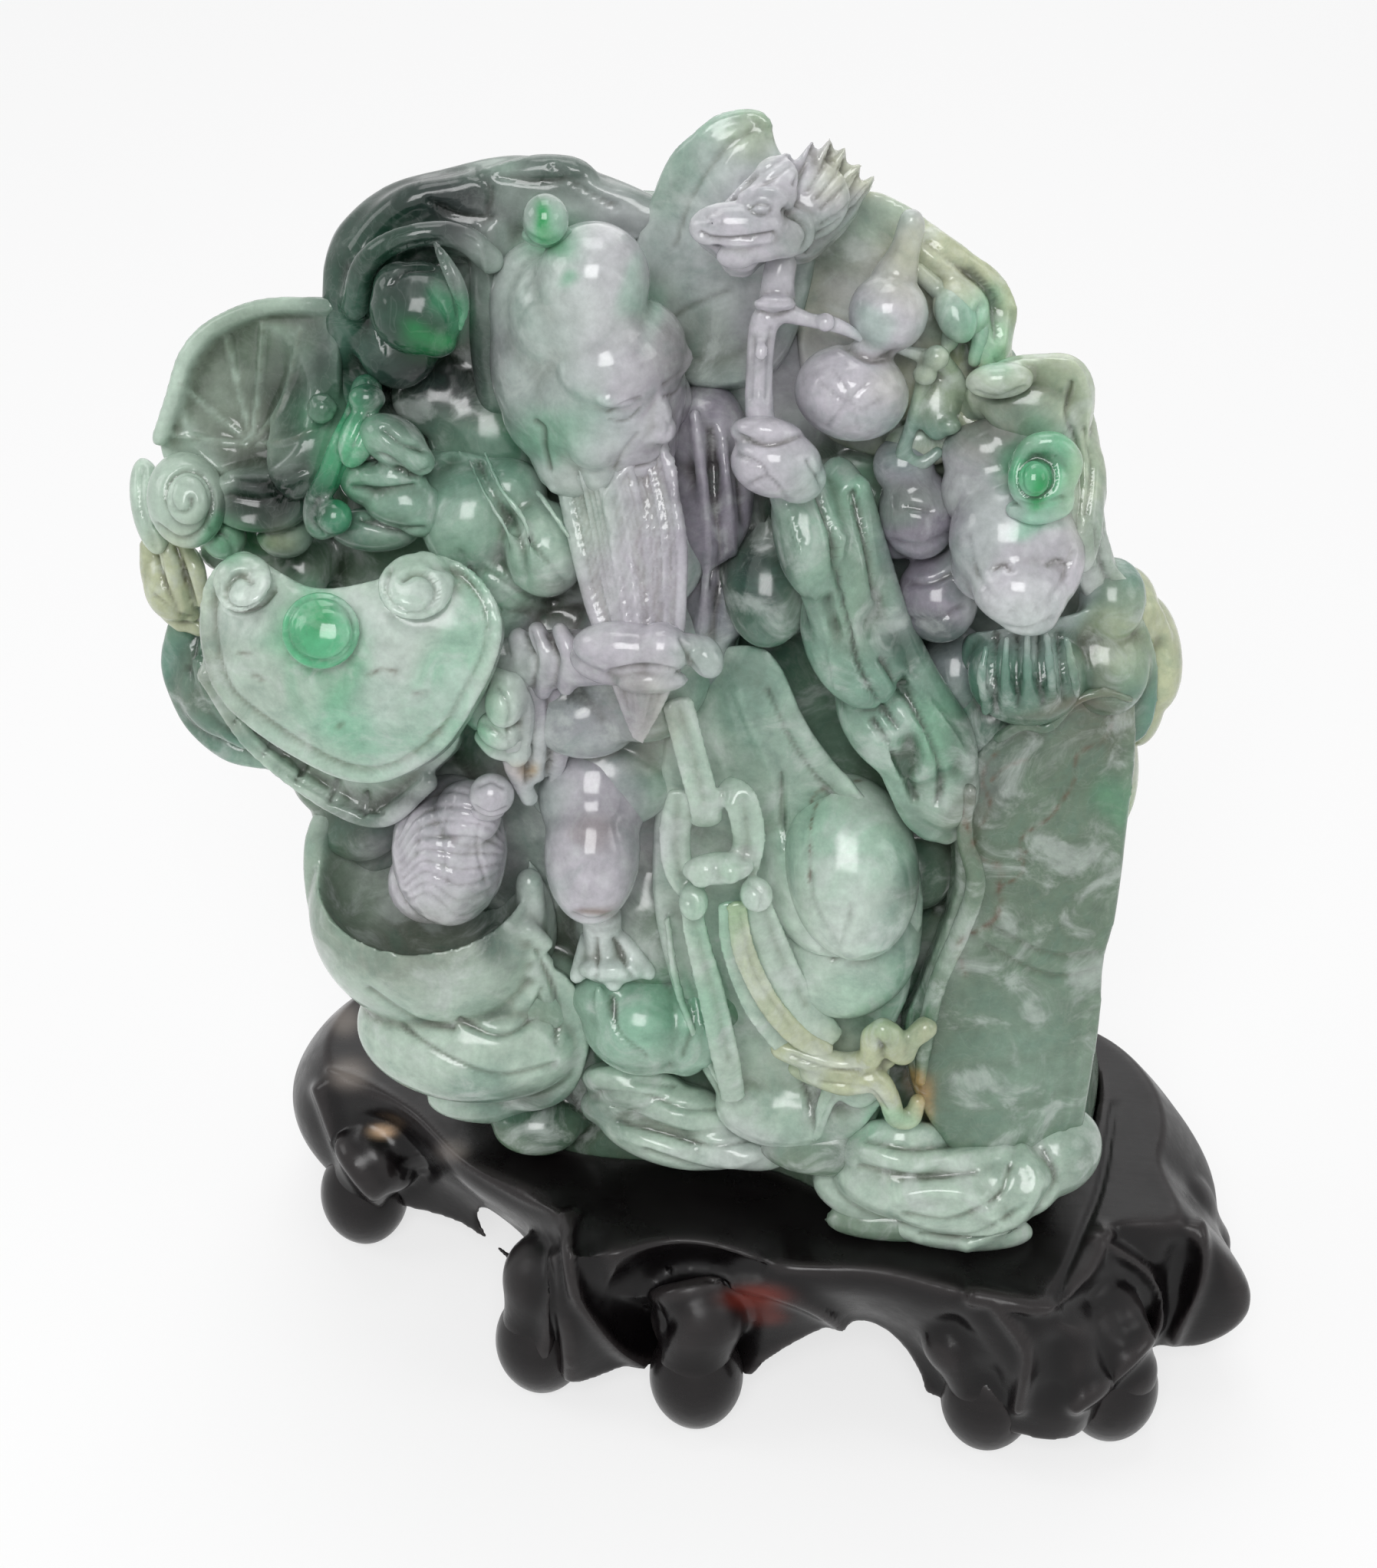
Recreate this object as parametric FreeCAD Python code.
import FreeCAD, Part
import math
import os
from FreeCAD import Matrix, Vector

# A carved jade group of an elder with staff, gourd, sceptre and boy, on its carved hardwood stand.
# Millimetres, +Z up, the front faces -Y. The origin is under the middle of the whole object,
# on the plane that the feet of the stand rest on.

# Carving above the top of the stand: every carved form is sized and placed in shares of these
carving_width = 160.0
carving_depth = 70.0
carving_height = 184.0

# Stand
stand_height = 38.0
ledge_length = 18.5
ledge_depth = 10.0
top_wall = 11.0
skirt_wall = 10.0
skirt_foot_level = 9.0
foot_knob_width = 16.0
foot_height = 22.0
arch_height = 19.0

# Seat of the carving in the stand
seat_depth = 3.0
seat_clearance = 0.4
stand_gap = 0.3

# Shares of the carving's width and depth: the size of its base, the middle of its base, and of the stand
base_size_shares = (0.744, 0.80)
base_middle_shares = (0.059, 0.086)
stand_middle_shares = (0.0375, 0.029)
base_width = base_size_shares[0] * carving_width
base_depth = base_size_shares[1] * carving_depth
base_middle_x = base_middle_shares[0] * carving_width
base_middle_y = base_middle_shares[1] * carving_depth
stand_length = base_width + 2 * ledge_length
stand_depth = base_depth + 2 * ledge_depth
stand_middle_x = stand_middle_shares[0] * carving_width
stand_middle_y = stand_middle_shares[1] * carving_depth

origin = Vector(0, 0, 0)
right = Vector(1, 0, 0)
front = Vector(0, -1, 0)
up = Vector(0, 0, 1)

# Stand: the rim of the top seen from above, anticlockwise from the right end,
# as shares of the stand's length and depth about its middle
rim_outline_shares = (
    (0.475, 0.02), (0.46, 0.27), (0.405, 0.40), (0.25, 0.455), (0.06, 0.49), (-0.16, 0.47), (-0.35, 0.455),
    (-0.465, 0.36), (-0.485, 0.04), (-0.385, -0.06), (-0.30, -0.22), (-0.19, -0.36), (-0.155, -0.465),
    (-0.05, -0.41), (0.06, -0.45), (0.16, -0.44), (0.27, -0.485), (0.355, -0.46), (0.42, -0.24),
    (0.49, -0.20))
# How far the skirt stands out beyond the rim at each level of the stand, at those same points
skirt_level_shares = (
    (1.0, (1.0,) * 20),
    (0.90, (1.03, 1.03, 1.03, 1.03, 1.02, 1.02, 1.03, 1.04, 1.03, 1.02,
            1.02, 1.02, 1.03, 1.01, 1.02, 1.02, 1.03, 1.04, 1.04, 1.05)),
    (0.58, (1.13, 1.10, 1.08, 1.04, 1.07, 1.02, 1.08, 1.12, 1.08, 0.98,
            0.92, 1.00, 1.09, 0.96, 0.98, 0.92, 1.04, 1.12, 1.10, 1.16)),
    (0.0, (1.04, 1.04, 1.06, 0.95, 1.05, 0.93, 1.06, 1.08, 1.00, 0.88,
            0.85, 0.99, 1.10, 0.98, 1.02, 0.88, 1.02, 1.13, 1.08, 1.10)))
# Middle of each foot, and how wide its sole and how high its widest place are, as shares of its half width
foot_place_shares = (
    (-0.455, 0.0), (-0.205, -0.41), (-0.025, -0.47), (0.30, -0.45),
    (0.435, -0.39), (0.525, 0.0), (0.38, 0.40), (0.0, 0.42), (-0.40, 0.38))
foot_sole_share = 0.45
foot_widest_share = 0.95
# Arches between the feet: where each is along its side, and its width, as shares of that side
front_arch_shares = ((-0.345, 0.13), (0.135, 0.20))
back_arch_shares = ((-0.20, 0.24), (0.20, 0.24))
side_arch_shares = (0.20, 0.34)
arch_reach_share = 0.4

# Carving: the outline of its base, anticlockwise from the right end, as shares of the base's size
base_outline_shares = (
    (0.5, 0.16), (0.475, 0.375), (0.30, 0.48), (0.02, 0.50), (-0.265, 0.465), (-0.45, 0.32),
    (-0.5, 0.10), (-0.415, -0.145), (-0.20, -0.285), (0.04, -0.285), (0.24, -0.48), (0.425, -0.285))
# The stone behind the figures: at each level the left, right, front and back of its outline
core_level_shares = (
    (0.14, -0.28, 0.41, -0.13, 0.44), (0.34, -0.34, 0.42, -0.08, 0.45), (0.56, -0.43, 0.39, -0.03, 0.43),
    (0.76, -0.38, 0.29, 0.04, 0.38), (0.92, -0.22, 0.18, 0.12, 0.32))
# How square the stone's outline is: 1 is an ellipse, and less is squarer
core_corner_share = 0.7

# Egg-like forms: the place of the middle, and the size, as shares of the carving's width, depth and height
egg_shares = {
    "sage_torso": ((-0.095, 0.00, 0.665), (0.250, 0.43, 0.239)),
    "sage_head": ((-0.113, -0.04, 0.845), (0.138, 0.31, 0.209)),
    "forehead_dome": ((-0.097, -0.10, 0.905), (0.106, 0.24, 0.088)),
    "head_knob": ((-0.132, -0.155, 0.944), (0.044, 0.10, 0.038)),
    "staff_hand": ((0.075, -0.245, 0.796), (0.087, 0.17, 0.072)),
    "left_knee": ((-0.090, -0.25, 0.410), (0.100, 0.25, 0.152)),
    "right_knee": ((0.160, -0.26, 0.405), (0.150, 0.31, 0.196)),
    "boy_head": ((-0.247, -0.19, 0.385), (0.116, 0.28, 0.126)),
    "boy_topknot": ((-0.205, -0.26, 0.440), (0.050, 0.11, 0.039)),
    "deer_body": ((0.294, -0.03, 0.590), (0.141, 0.26, 0.159)),
    "ruyi_bow": ((-0.180, -0.30, 0.545), (0.070, 0.14, 0.100)),
    "lotus_pod": ((-0.494, -0.05, 0.680), (0.075, 0.17, 0.085)),
    "crumpled_leaf": ((-0.500, -0.02, 0.605), (0.087, 0.18, 0.099)),
    "cup_outside": ((-0.285, -0.08, 0.262), (0.263, 0.48, 0.228)),
    "cup_folds": ((-0.245, -0.14, 0.150), (0.250, 0.40, 0.130)),
    "cup_inside": ((-0.290, -0.13, 0.345), (0.226, 0.42, 0.206)),
    "left_curl": ((-0.405, -0.345, 0.675), (0.078, 0.15, 0.068)),
    "right_curl": ((-0.250, -0.372, 0.686), (0.082, 0.16, 0.070)),
    "leaf_dish": ((-0.440, -0.22, 0.735), (0.212, 0.36, 0.218)),
    "dragon_chin": ((0.043, -0.20, 0.950), (0.031, 0.07, 0.027)),
    "low_bulb": ((0.115, -0.108, 0.819), (0.120, 0.250, 0.094)),
    "high_bulb": ((0.146, -0.074, 0.886), (0.086, 0.190, 0.076)),
    "ribbon_knot": ((0.215, -0.03, 0.840), (0.037, 0.09, 0.042)),
    "upper_cap": ((-0.275, -0.10, 0.757), (0.100, 0.21, 0.043)),
    "lower_cap": ((-0.268, -0.12, 0.718), (0.100, 0.21, 0.039)),
    "left_loop": ((-0.005, -0.36, 0.462), (0.062, 0.07, 0.054)),
    "right_loop": ((0.055, -0.35, 0.478), (0.062, 0.07, 0.054)),
    "sash_knot": ((0.027, -0.40, 0.440), (0.041, 0.08, 0.036)),
}
# How many degrees a form is leaned about X, rolled about Y and turned about Z
form_turns = {
    "sage_head": (-8, 0, 0), "left_knee": (6, 0, 0), "right_knee": (0, -12, 0),
    "low_bulb": (-10, 22, 0), "high_bulb": (-10, 22, 0),
    "lotus_pod": (0, -12, 0), "crumpled_leaf": (0, 10, 0), "cup_outside": (0, 12, 0),
    "cup_inside": (0, 12, 0), "upper_cap": (0, 18, 0), "lower_cap": (0, 12, 0), "left_loop": (0, 25, 0),
    "right_loop": (0, -30, 0), "ruyi_head": (28, 0, -6), "left_curl": (28, 0, 0), "right_curl": (28, 0, 0),
    "ruyi_back_plate": (28, -12, -6),
}
# Round limbs: the places along the path, and the width at each as a share of the carving's width
limb_shares = {
    "sage_beard": (((-0.060, -0.10, 0.790), (-0.060, -0.17, 0.735), (-0.055, -0.24, 0.680),
                    (-0.050, -0.30, 0.630), (-0.043, -0.37, 0.585), (-0.040, -0.40, 0.552)),
                   (0.066, 0.094, 0.080, 0.058, 0.037, 0.007)),
    "left_shoulder": (((-0.006, 0.04, 0.810), (0.006, 0.00, 0.750), (0.013, -0.03, 0.690),
                       (0.020, -0.03, 0.610)),
                      (0.064, 0.106, 0.106, 0.074)),
    "hand_sleeve": (((-0.165, -0.16, 0.625), (-0.130, -0.26, 0.625), (-0.080, -0.32, 0.632),
                     (-0.035, -0.34, 0.632)), (0.076, 0.069, 0.058, 0.048)),
    "beard_hand": (((-0.050, -0.34, 0.633), (-0.030, -0.37, 0.636), (-0.010, -0.37, 0.634),
                    (0.006, -0.35, 0.628)),
                   (0.050, 0.060, 0.056, 0.036)),
    "sleeve_drape": (((-0.150, -0.22, 0.610), (-0.155, -0.25, 0.565), (-0.152, -0.22, 0.520),
                      (-0.150, -0.15, 0.480)), (0.044, 0.044, 0.039, 0.031)),
    "sage_robe": (((0.010, -0.02, 0.670), (0.050, -0.07, 0.560), (0.095, -0.10, 0.440), (0.120, -0.11, 0.310),
                   (0.110, -0.10, 0.180), (0.100, -0.12, 0.060)), (0.117, 0.170, 0.212, 0.212, 0.191, 0.128)),
    "trouser_flare": (((-0.085, -0.24, 0.355), (-0.078, -0.24, 0.325), (-0.070, -0.24, 0.300)),
                      (0.066, 0.080, 0.103)),
    "left_trouser": (((-0.055, -0.18, 0.310), (-0.048, -0.20, 0.260), (-0.042, -0.20, 0.210),
                      (-0.035, -0.19, 0.165)),
                     (0.095, 0.138, 0.136, 0.090)),
    "hem_scarf": (((0.075, -0.28, 0.225), (0.120, -0.31, 0.208), (0.165, -0.32, 0.220),
                   (0.205, -0.32, 0.248)),
                  (0.035, 0.044, 0.039, 0.039)),
    "staff_sleeve": (((0.085, -0.16, 0.780), (0.100, -0.19, 0.728), (0.125, -0.21, 0.674),
                      (0.156, -0.22, 0.614), (0.190, -0.22, 0.550), (0.222, -0.21, 0.480)),
                     (0.069, 0.081, 0.089, 0.081, 0.065, 0.033)),
    "shaft": (((0.072, -0.16, 0.950), (0.062, -0.19, 0.913), (0.053, -0.20, 0.864), (0.059, -0.23, 0.815),
               (0.075, -0.24, 0.766)), (0.034, 0.026, 0.029, 0.026, 0.029)),
    "side_branch": (((0.062, -0.19, 0.908), (0.094, -0.20, 0.902), (0.131, -0.18, 0.885),
                     (0.169, -0.14, 0.868)),
                    (0.023, 0.019, 0.021, 0.017)),
    "dragon_skull": (((-0.010, -0.25, 0.974), (0.008, -0.24, 0.980), (0.030, -0.22, 0.984),
                      (0.062, -0.19, 0.984), (0.094, -0.14, 0.980), (0.130, -0.06, 0.985)),
                     (0.022, 0.036, 0.041, 0.064, 0.075, 0.060)),
    "gourd_cord": (((0.165, -0.03, 0.905), (0.206, -0.01, 0.870), (0.212, -0.03, 0.821),
                    (0.170, -0.09, 0.775)),
                   (0.026, 0.037, 0.026, 0.034)),
    "leaf_fold": (((0.264, -0.13, 0.490), (0.280, -0.17, 0.406), (0.258, -0.19, 0.298),
                   (0.250, -0.19, 0.179)),
                  (0.045, 0.070, 0.075, 0.055)),
    "gourd_stem": (((0.152, -0.068, 0.900), (0.165, -0.054, 0.928), (0.178, -0.040, 0.957)),
                   (0.040, 0.028, 0.026)),
    "deer_head": (((0.258, -0.02, 0.775), (0.263, -0.10, 0.735), (0.275, -0.16, 0.698), (0.287, -0.20, 0.664),
                   (0.290, -0.23, 0.640)), (0.084, 0.113, 0.096, 0.065, 0.040)),
    "antler": (((0.235, -0.01, 0.815), (0.275, -0.04, 0.832), (0.320, -0.06, 0.815), (0.340, -0.09, 0.760),
                (0.330, -0.10, 0.695)), (0.028, 0.035, 0.035, 0.038, 0.028)),
    "cloud_column": (((0.144, -0.01, 0.765), (0.169, -0.04, 0.712), (0.190, -0.05, 0.663),
                      (0.215, -0.06, 0.609),
                      (0.235, -0.05, 0.555)), (0.049, 0.073, 0.089, 0.089, 0.065)),
    "hood_leaf": (((-0.315, 0.02, 0.770), (-0.315, 0.06, 0.840), (-0.265, 0.11, 0.888), (-0.190, 0.13, 0.905),
                   (-0.110, 0.13, 0.900)), (0.079, 0.107, 0.113, 0.107, 0.090)),
    "fungus_stem": (((-0.290, -0.03, 0.810), (-0.312, -0.10, 0.775), (-0.331, -0.14, 0.734),
                     (-0.340, -0.16, 0.692)), (0.030, 0.034, 0.030, 0.036)),
}
# Flat ribbons: the places along the path, and the width and thickness as shares of the carving's width
ribbon_shares = {
    "sash_fall": (((0.004, -0.29, 0.585), (0.019, -0.33, 0.522), (0.025, -0.36, 0.457), (0.022, -0.36, 0.391),
                   (0.042, -0.34, 0.293), (0.080, -0.32, 0.217)), (0.041, 0.019)),
    "side_ribbon": (((0.050, -0.34, 0.430), (0.075, -0.33, 0.350), (0.105, -0.32, 0.280),
                     (0.150, -0.33, 0.225)),
                    (0.033, 0.019)),
}
# Outlines of the forms that face the front, anticlockwise or clockwise round, as shares of their own size
ruyi_outline_shares = (
    (-0.50, 0.10), (-0.42, 0.36), (-0.26, 0.46), (-0.10, 0.34), (0.02, 0.28), (0.14, 0.38), (0.30, 0.47),
    (0.46, 0.32), (0.50, 0.08), (0.42, -0.16), (0.26, -0.36), (0.04, -0.47), (-0.18, -0.44), (-0.38, -0.22))
open_leaf_outline_shares = (
    (0.42, 0.40), (0.16, 0.50), (-0.10, 0.42), (-0.30, 0.18), (-0.47, -0.08), (-0.50, -0.30),
    (-0.20, -0.48), (0.16, -0.50), (0.42, -0.30), (0.50, 0.02))
tall_leaf_outline_shares = (
    (0.26, 0.46), (0.46, 0.49), (0.50, 0.38), (0.47, 0.12), (0.40, 0.02), (0.45, -0.06), (0.44, -0.30),
    (0.34, -0.46), (0.0, -0.50), (-0.34, -0.47), (-0.48, -0.30), (-0.36, -0.05), (-0.22, 0.18), (-0.30, 0.36),
    (-0.12, 0.455), (0.06, 0.44))
low_leaf_outline_shares = (
    (-0.45, 0.30), (-0.20, 0.48), (0.25, 0.44), (0.50, 0.10), (0.44, -0.28), (0.10, -0.46), (-0.28, -0.44),
    (-0.50, -0.12))
crest_outline_shares = (
    (-0.30, 0.02), (-0.24, 0.28), (-0.02, 0.44), (0.20, 0.50), (0.36, 0.38), (0.42, 0.12), (0.50, -0.20),
    (0.30, -0.48), (-0.30, -0.50), (-0.50, -0.24))
pale_leaf_outline_shares = (
    (-0.40, 0.42), (0.0, 0.48), (0.24, 0.34), (0.42, 0.14), (0.46, -0.06), (0.50, -0.30), (0.34, -0.50),
    (-0.30, -0.46), (-0.50, -0.05))
back_leaf_outline_shares = (
    (-0.30, 0.46), (0.10, 0.44), (0.42, 0.36), (0.50, 0.16), (0.34, -0.06), (0.22, -0.30), (0.05, -0.48),
    (-0.40, -0.44), (-0.50, 0.05))
left_shoe_outline_shares = (
    (-0.50, 0.20), (-0.38, 0.46), (-0.08, 0.44), (0.14, 0.16), (0.36, -0.06), (0.50, -0.34), (0.30, -0.50),
    (-0.05, -0.34), (-0.30, -0.20), (-0.46, -0.02))
right_shoe_outline_shares = (
    (-0.50, 0.10), (-0.40, 0.46), (-0.20, 0.34), (0.10, 0.30), (0.38, 0.22), (0.50, -0.10), (0.36, -0.44),
    (0.0, -0.50), (-0.34, -0.36))
# How such a form swells over its depth: a share of the depth, and of the outline's size there
pillow_shares = ((0.5, 0.82), (0.1, 1.0), (-0.28, 0.92), (-0.5, 0.55))
leaf_pillow_shares = ((0.5, 0.88), (0.1, 1.0), (-0.5, 0.9))
# Those forms: the middle, and the size as shares of the carving's width, depth and height
relief_shares = {
    "ruyi_head": ((-0.312, -0.31, 0.592), (0.300, 0.19, 0.239), ruyi_outline_shares, pillow_shares),
    "ruyi_back_plate": ((-0.345, -0.17, 0.545),
                        (0.287, 0.14, 0.196), ruyi_outline_shares, leaf_pillow_shares),
    "open_leaf": ((-0.440, 0.03, 0.728), (0.212, 0.16, 0.228), open_leaf_outline_shares, leaf_pillow_shares),
    "tall_leaf": ((0.330, -0.08, 0.292), (0.200, 0.34, 0.533), tall_leaf_outline_shares, pillow_shares),
    "low_leaf": ((-0.415, 0.00, 0.520), (0.212, 0.19, 0.217), low_leaf_outline_shares, pillow_shares),
    "crest_leaf": ((0.000, 0.19, 0.887), (0.163, 0.13, 0.217), crest_outline_shares, pillow_shares),
    "pale_leaf": ((0.145, 0.13, 0.855), (0.287, 0.13, 0.250), pale_leaf_outline_shares, pillow_shares),
    "back_leaf": ((0.350, 0.06, 0.545), (0.163, 0.17, 0.239), back_leaf_outline_shares, pillow_shares),
    "left_shoe": ((0.000, -0.20, 0.130), (0.225, 0.26, 0.129), left_shoe_outline_shares, pillow_shares),
    "right_shoe": ((0.250, -0.22, 0.068), (0.237, 0.27, 0.103), right_shoe_outline_shares, pillow_shares),
}
# Turned forms: the place of the foot and of the head, the width as a share of the carving's,
# and the profile as shares of the width and of the way from foot to head
turned_shares = {
    "peach": ((-0.262, -0.01, 0.880), (-0.250, -0.18, 0.853), 0.079,
              ((0, 0), (0.26, 0.03), (0.50, 0.36), (0.42, 0.68), (0.14, 0.92), (0, 1.0))),
    "ruyi_boss": ((-0.335, -0.44, 0.642), (-0.337, -0.535, 0.664), 0.080,
                  ((0, 0), (0.50, 0.0), (0.50, 0.45), (0.36, 0.60), (0.34, 0.90), (0, 1.0))),
    "lingzhi_knob": ((0.290, -0.10, 0.765), (0.294, -0.17, 0.785), 0.059,
                     ((0, 0), (0.42, 0.0), (0.50, 0.35), (0.44, 0.80), (0.25, 1.0), (0, 0.92))),
}
# Spikes of the dragon's mane: foot and tip of the lowest and of the highest, and the width of each
mane_foot_shares = ((0.125, -0.08, 0.965), (0.125, -0.08, 0.985))
mane_tip_shares = ((0.165, 0.0, 0.985), (0.120, 0.0, 1.015))
mane_spike_width_share = 0.0225
mane_spikes = 4


def spot(shares):
    """A place in the carving, from shares of its width, its depth and its height over the stand."""
    x_share, y_share, z_share = shares
    level = stand_height + z_share * carving_height
    return Vector(x_share * carving_width, y_share * carving_depth, level)


def smooth_wire(points):
    """A smooth closed curve through the points."""
    curve = Part.BSplineCurve()
    curve.interpolate(Points=points, PeriodicFlag=True)
    return Part.Wire([curve.toShape()])


def set_in_place(shape, name, place_shares):
    """A form made at the origin, with its own turns, moved to its place."""
    lean, roll, turn = form_turns.get(name, (0, 0, 0))
    shape.rotate(origin, Vector(0, 1, 0), roll)
    shape.rotate(origin, right, lean)
    shape.rotate(origin, up, turn)
    shape.translate(spot(place_shares))
    return shape


def egg(name):
    """An egg-like form."""
    place_shares, (width_share, depth_share, height_share) = egg_shares[name]
    matrix = Matrix()
    matrix.scale(width_share * carving_width / 2, depth_share * carving_depth / 2,
                 height_share * carving_height / 2)
    ball = Part.makeSphere(1)
    ball.rotate(origin, up, -90)
    return set_in_place(ball.transformGeometry(matrix), name, place_shares)


def limb(name):
    """A round form along a path, as wide at each place as its share says."""
    path_shares, width_shares = limb_shares[name]
    points = [spot(place) for place in path_shares]
    last = len(points) - 1
    rings = []
    side = (points[1] - points[0]).cross(front)
    for index, point in enumerate(points):
        ahead = points[min(index + 1, last)] - points[max(index - 1, 0)]
        side = ahead.cross(side.cross(ahead)).normalize()
        ring = Part.Circle(point, ahead, width_shares[index] * carving_width / 2)
        ring.XAxis = side
        rings.append(Part.Wire([ring.toShape()]))
    return Part.makeLoft(rings, True, True)


def ribbon(name):
    """A flat ribbon along a path that lies on the front of the carving."""
    path_shares, (width_share, thickness_share) = ribbon_shares[name]
    points = [spot(place) for place in path_shares]
    last = len(points) - 1
    rings = []
    for index, point in enumerate(points):
        ahead = (points[min(index + 1, last)] - points[max(index - 1, 0)]).normalize()
        side = ahead.cross(front).normalize()
        half_out = side.cross(ahead).normalize() * (thickness_share * carving_width / 2)
        half_side = side * (width_share * carving_width / 2)
        corners = [point + half_side + half_out, point - half_side + half_out,
                   point - half_side - half_out, point + half_side - half_out]
        rings.append(Part.makePolygon(corners + corners[:1]))
    return Part.makeLoft(rings, True, True)


def relief(name):
    """A carved form with an outline to the front, which swells and draws in again over its depth."""
    place_shares, (width_share, depth_share, height_share), outline_shares, swell_shares = relief_shares[name]
    wires = []
    for level_share, scale_share in swell_shares:
        level = level_share * depth_share * carving_depth
        wires.append(smooth_wire([Vector(x * scale_share * width_share * carving_width, level,
                                         z * scale_share * height_share * carving_height)
                                  for x, z in outline_shares]))
    return set_in_place(Part.makeLoft(wires, True, True), name, place_shares)


def aimed(shape, foot_shares, head_shares):
    """An upright form, set down at its foot and tipped towards its head."""
    aim = spot(head_shares) - spot(foot_shares)
    shape.rotate(origin, up.cross(aim), math.degrees(up.getAngle(aim)))
    shape.translate(spot(foot_shares))
    return shape


def turned(name):
    """A turned form with a profile of straight steps, from its foot towards its head."""
    foot_shares, head_shares, width_share, profile_shares = turned_shares[name]
    length = (spot(head_shares) - spot(foot_shares)).Length
    width = width_share * carving_width
    points = [Vector(radius * width, 0, height * length) for radius, height in profile_shares]
    face = Part.Face(Part.makePolygon(points + points[:1]))
    return aimed(face.revolve(origin, up, 360), foot_shares, head_shares)


def joined(shapes):
    """Several forms grown into one."""
    return shapes[0].multiFuse(shapes[1:])


def main_solid(shape):
    """The largest solid of a cut form: a cut can part a thin rind from it, which is left off."""
    return max(shape.Solids, key=lambda solid: solid.Volume)


def stand_point(shares, level, swell=1):
    """A place in the stand from shares of its length and depth."""
    x_share, y_share = shares
    x = stand_middle_x + x_share * swell * stand_length
    y = stand_middle_y + y_share * swell * stand_depth
    return Vector(x, y, level)


def inward(shares, wall):
    """Shares of a rim place that lies a wall's thickness nearer to the stand's middle."""
    x_share, y_share = shares
    return (x_share * (1 - 2 * wall / stand_length), y_share * (1 - 2 * wall / stand_depth))


def base_wire(level, gap):
    """The outline of the carving's base, or of its seat where a gap is given."""
    width = base_width + 2 * gap
    depth = base_depth + 2 * gap
    points = [Vector(base_middle_x + x * width, base_middle_y + y * depth, level)
              for x, y in base_outline_shares]
    return smooth_wire(points)


def build_stand_body():
    """Top with the seat sunk in it, and the hollow skirt below with its arches."""
    wires = []
    for level_share, swells in skirt_level_shares:
        level = skirt_foot_level + (stand_height - skirt_foot_level) * level_share
        wires.append(smooth_wire([stand_point(shares, level, swell)
                                  for shares, swell in zip(rim_outline_shares, swells)]))
    body = Part.makeLoft(wires, True, False)
    ceiling = stand_height - top_wall
    hollow_wires = [smooth_wire([stand_point(inward(shares, skirt_wall), level)
                                 for shares in rim_outline_shares]) for level in (0, ceiling)]
    cuts = [Part.makeLoft(hollow_wires, True, True)]
    cuts.append(Part.Face(base_wire(stand_height - seat_depth, seat_clearance)).extrude(up * (2 * seat_depth)))
    for arch_shares, side_share in ((front_arch_shares, -0.5), (back_arch_shares, 0.5)):
        for x_share, width_share in arch_shares:
            cuts.append(arch(stand_point((x_share, side_share), 0), width_share * stand_length, False))
    y_share, width_share = side_arch_shares
    for side_share in (-0.5, 0.5):
        cuts.append(arch(stand_point((side_share, y_share), 0), width_share * stand_depth, True))
    return main_solid(body.cut(cuts))


def arch(middle, width, across):
    """The round-headed gap that an arch leaves in the skirt."""
    half = width / 2
    reach = arch_reach_share * stand_depth
    left_foot = Vector(-half, -reach, 0)
    left_spring = Vector(-half, -reach, skirt_foot_level)
    crown = Vector(0, -reach, arch_height)
    right_spring = Vector(half, -reach, skirt_foot_level)
    right_foot = Vector(half, -reach, 0)
    edges = [Part.makeLine(left_foot, left_spring),
             Part.Arc(left_spring, crown, right_spring).toShape(),
             Part.makeLine(right_spring, right_foot),
             Part.makeLine(right_foot, left_foot)]
    gap = Part.Face(Part.Wire(edges)).extrude(Vector(0, 2 * reach, 0))
    if across:
        gap.rotate(origin, up, 90)
    gap.translate(middle)
    return gap


def build_foot(shares, body):
    """A knob foot, flat underneath, cut to the skirt that it grows from."""
    half = foot_knob_width / 2
    sole = Vector(half * foot_sole_share, 0, 0)
    widest = Vector(half, 0, half * foot_widest_share)
    crown = Vector(0, 0, foot_height)
    edges = [Part.makeLine(origin, sole), Part.Arc(sole, widest, crown).toShape(), Part.makeLine(crown, origin)]
    knob = Part.Face(Part.Wire(edges)).revolve(origin, up, 360)
    knob.rotate(origin, up, math.degrees(math.atan2(shares[1], shares[0])))
    knob.translate(stand_point(shares, 0))
    return main_solid(knob.cut(body))


def squared(value):
    """A sine or cosine pushed outwards, so that an ellipse comes out squarer."""
    return math.copysign(abs(value) ** core_corner_share, value)


def build_core():
    """The stone that carries every carved form, from the tenon in the seat to the crest."""
    wires = [base_wire(stand_height - seat_depth, 0), base_wire(stand_height + seat_depth, 0)]
    corners = len(base_outline_shares)
    for z_share, left_share, right_share, front_share, back_share in core_level_shares:
        points = []
        for index in range(corners):
            angle = 2 * math.pi * index / corners
            x_share = (left_share + right_share) / 2 + (right_share - left_share) / 2 * squared(math.cos(angle))
            y_share = (front_share + back_share) / 2 + (back_share - front_share) / 2 * squared(math.sin(angle))
            points.append(spot((x_share, y_share, z_share)))
        wires.append(smooth_wire(points))
    return Part.makeLoft(wires, True, True)


def build_staff():
    """Knotted staff with the side branch that the gourd hangs from."""
    return joined([limb("shaft"), limb("side_branch")])


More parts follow.
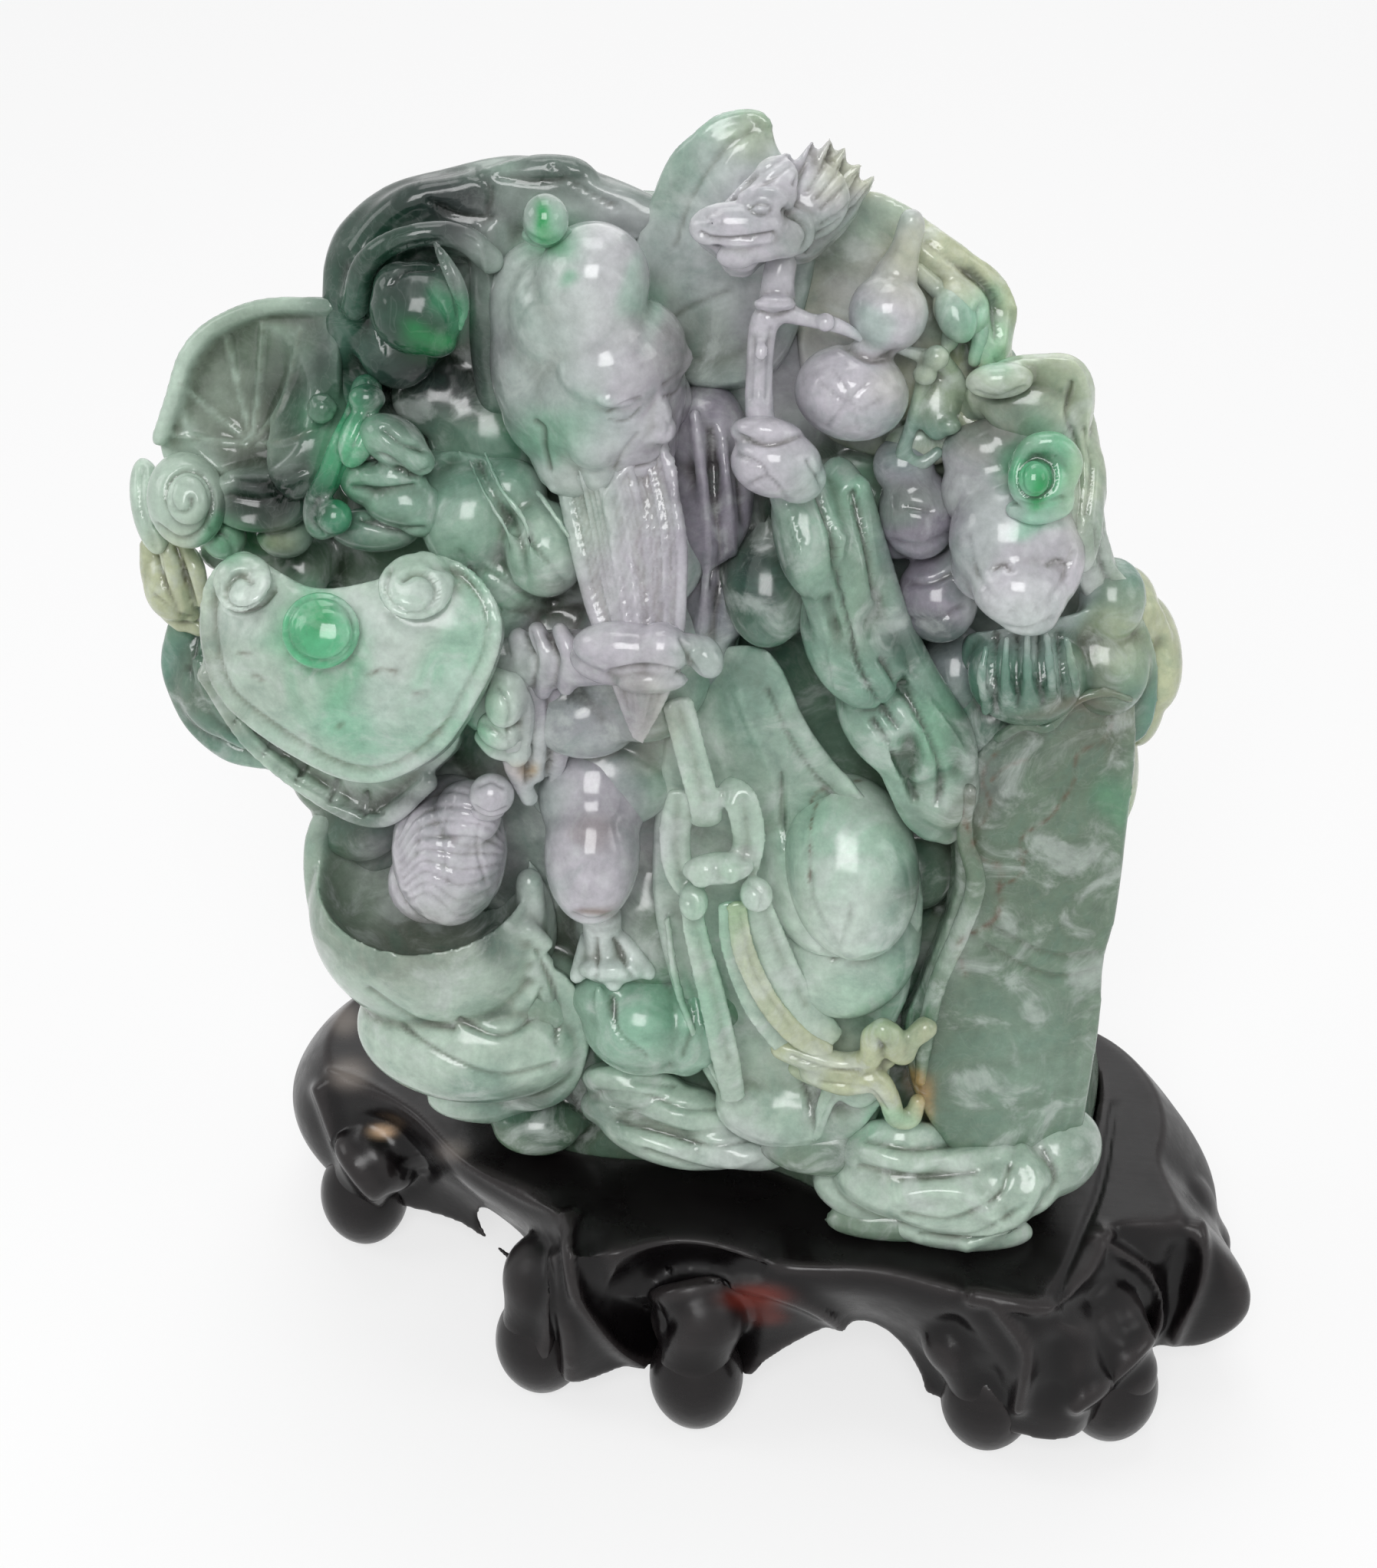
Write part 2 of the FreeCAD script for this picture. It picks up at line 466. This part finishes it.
def build_dragon():
    """Dragon head of the staff: snout, brow, chin and a mane of spikes."""
    spikes = []
    for index in range(mane_spikes):
        rise = index / (mane_spikes - 1)
        foot = spot(mane_foot_shares[0]) * (1 - rise) + spot(mane_foot_shares[1]) * rise
        tip = spot(mane_tip_shares[0]) * (1 - rise) + spot(mane_tip_shares[1]) * rise
        aim = tip - foot
        spikes.append(Part.makeCone(mane_spike_width_share * carving_width / 2, 0, aim.Length, foot, aim))
    return joined([limb("dragon_skull"), egg("dragon_chin")] + spikes)


def build_gourd():
    """Double gourd: two bulbs that meet at the waist, and the stem."""
    return joined([egg("low_bulb"), egg("high_bulb"), limb("gourd_stem")])


def build_gourd_ribbon():
    """Ribbon that ties the gourd, with its knot."""
    return joined([limb("gourd_cord"), egg("ribbon_knot")])


def build_cup():
    """Lotus leaf folded into a cup, open to the top and the front, over the folds of its foot."""
    return joined([egg("cup_outside"), egg("cup_folds")]).cut(egg("cup_inside"))


def build_tall_leaf():
    """Tall leaf with its folded edge."""
    return joined([relief("tall_leaf"), limb("leaf_fold")])


def build_ruyi():
    """Head of the sceptre: a heart-shaped cushion with two curls at its top."""
    return joined([relief("ruyi_head"), egg("left_curl"), egg("right_curl")])


def build_lotus_leaf():
    """Open lotus leaf, dished to the front."""
    return relief("open_leaf").cut(egg("leaf_dish"))


def build_fungus():
    """Layered caps of the fungus."""
    return joined([egg("upper_cap"), egg("lower_cap")])


def build_sash():
    """Sash that falls from the waist to the hem, and its bow."""
    return joined([ribbon("sash_fall"), egg("left_loop"), egg("right_loop"), egg("sash_knot")])


# Forms that are built from more than one of the tables above
built_forms = {
    "rock_core": build_core, "cup_leaf": build_cup, "lotus_leaf": build_lotus_leaf, "fungus_caps": build_fungus,
    "tall_leaf": build_tall_leaf, "ruyi_head": build_ruyi,
    "staff_shaft": build_staff, "dragon_head": build_dragon, "double_gourd": build_gourd,
    "gourd_ribbon": build_gourd_ribbon, "sash": build_sash,
}
# Every carved form, the large ones first. Each is cut to those that stand before it, so that a small form
# grows out of the face of a large one and they meet face to face.
carved_forms = (
    "rock_core", "cup_leaf", "tall_leaf", "low_leaf", "hood_leaf", "lotus_leaf", "pale_leaf", "crest_leaf",
    "back_leaf", "sage_torso", "sage_robe", "deer_body", "left_shoulder", "left_trouser", "left_shoe",
    "right_shoe", "right_knee", "left_knee", "trouser_flare", "cloud_column", "deer_head", "sage_head",
    "forehead_dome", "sage_beard", "staff_sleeve", "hand_sleeve", "sleeve_drape", "ruyi_back_plate",
    "ruyi_head", "boy_head", "double_gourd", "staff_hand", "dragon_head", "staff_shaft", "gourd_ribbon",
    "antler", "lingzhi_knob", "beard_hand", "head_knob", "ruyi_boss", "ruyi_bow", "boy_topknot", "peach",
    "fungus_caps", "fungus_stem", "lotus_pod", "crumpled_leaf", "sash", "side_ribbon", "hem_scarf")


def build_form(name):
    """One carved form before it is cut to its neighbours."""
    if name in built_forms:
        return built_forms[name]()
    for table, build in ((egg_shares, egg), (limb_shares, limb), (ribbon_shares, ribbon),
                         (relief_shares, relief), (turned_shares, turned)):
        if name in table:
            return build(name)


def build_carving():
    """Each carved form, cut to those that it grows from."""
    stand_space = Part.makeBox(4 * stand_length, 4 * stand_depth, stand_height + stand_gap)
    stand_space.translate(Vector(-2 * stand_length, -2 * stand_depth, 0))
    finished = {}
    placed = []
    for name in carved_forms:
        form = build_form(name)
        tools = [other for other in placed if other.BoundBox.intersect(form.BoundBox)]
        if name != "rock_core" and form.BoundBox.ZMin < stand_height + stand_gap:
            tools.append(stand_space)
        placed.append(form)
        for tool in tools:
            form = main_solid(form.cut(tool))
        finished[name] = form
    return finished


def build_stand():
    """The stand's body and its knob feet."""
    body = build_stand_body()
    parts = {"stand_body": body}
    for index, shares in enumerate(foot_place_shares):
        parts["stand_foot_%d" % (index + 1)] = build_foot(shares, body)
    return parts


def main():
    parts = build_stand()
    parts.update(build_carving())
    boxes = [shape.optimalBoundingBox(False, False) for shape in parts.values()]
    left = min(box.XMin for box in boxes)
    back = max(box.YMax for box in boxes)
    shift = Vector(-(left + max(box.XMax for box in boxes)) / 2, -(back + min(box.YMin for box in boxes)) / 2, 0)
    os.makedirs("parts", exist_ok=True)
    for name, shape in parts.items():
        shape.translate(shift)
        shape.exportStep("parts/%s.step" % name)
        print(name, "volume %.0f" % shape.Volume, "valid", shape.isValid())
    print("shift %.2f %.2f" % (shift.x, shift.y))
    print("half size %.1f x %.1f x %.1f" % (-left - shift.x, back + shift.y, max(box.ZMax for box in boxes) / 2))


main()
